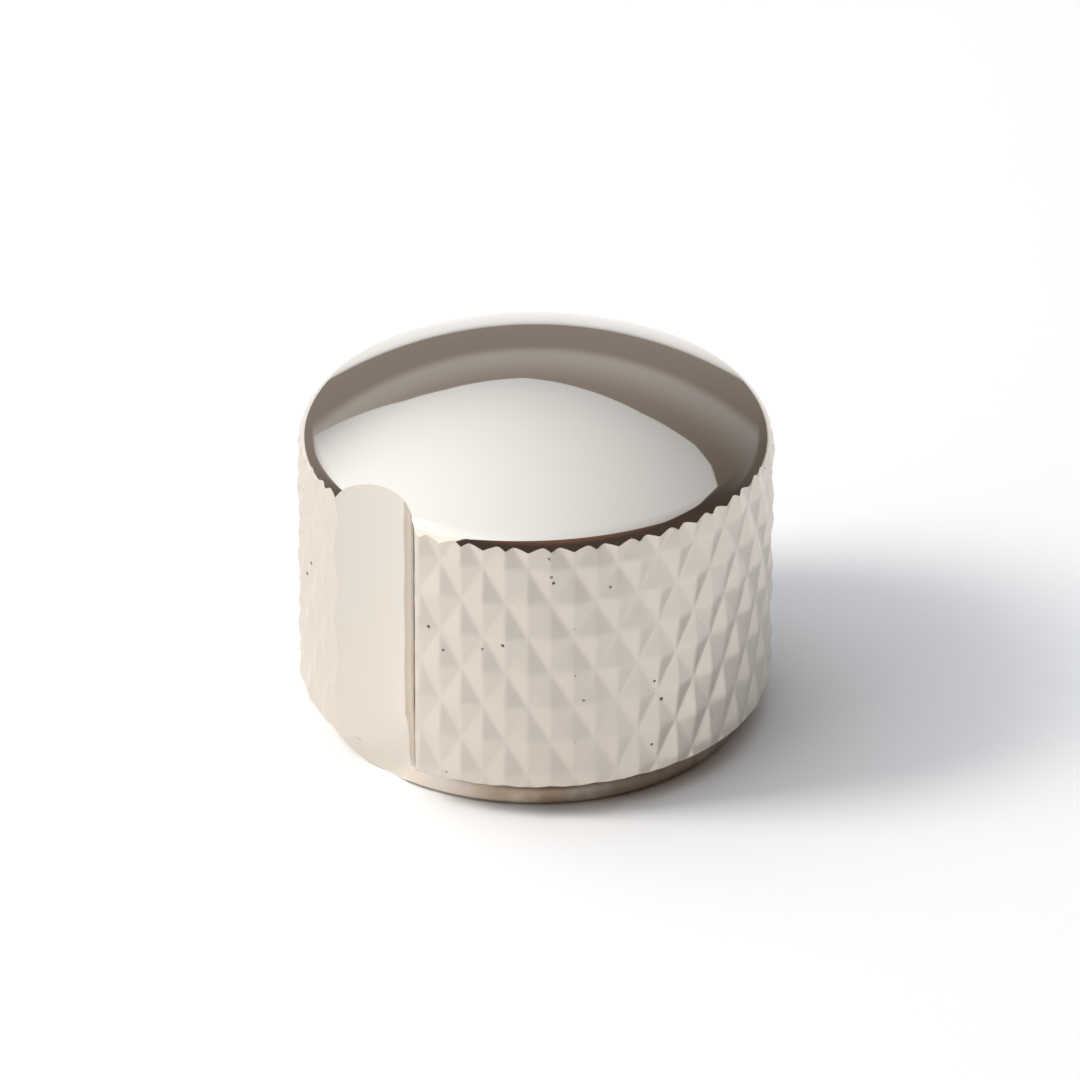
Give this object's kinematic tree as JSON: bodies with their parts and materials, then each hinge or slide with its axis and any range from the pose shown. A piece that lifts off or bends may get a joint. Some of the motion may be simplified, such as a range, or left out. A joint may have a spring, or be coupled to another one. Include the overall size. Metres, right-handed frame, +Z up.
{
  "type": "potentiometer knob",
  "caption": "Domed, diamond-knurled metal knob with a scooped index groove, a nut recess, a shaft bore and a set screw, for turning a control's round shaft.",
  "frame": {"origin": "on the knob's axis, in the plane that its base stands on", "axes": "+Z up along the shaft's axis towards the dome, -Y towards the index groove"},
  "size_m": [0.019, 0.0187, 0.015],
  "materials": {
    "nickel_plate": "polished nickel plate on brass",
    "screw_steel": "black oxide steel"
  },
  "bodies": {
    "root": {"knob_body": "nickel_plate", "set_screw": "screw_steel"}
  },
  "joints": []
}
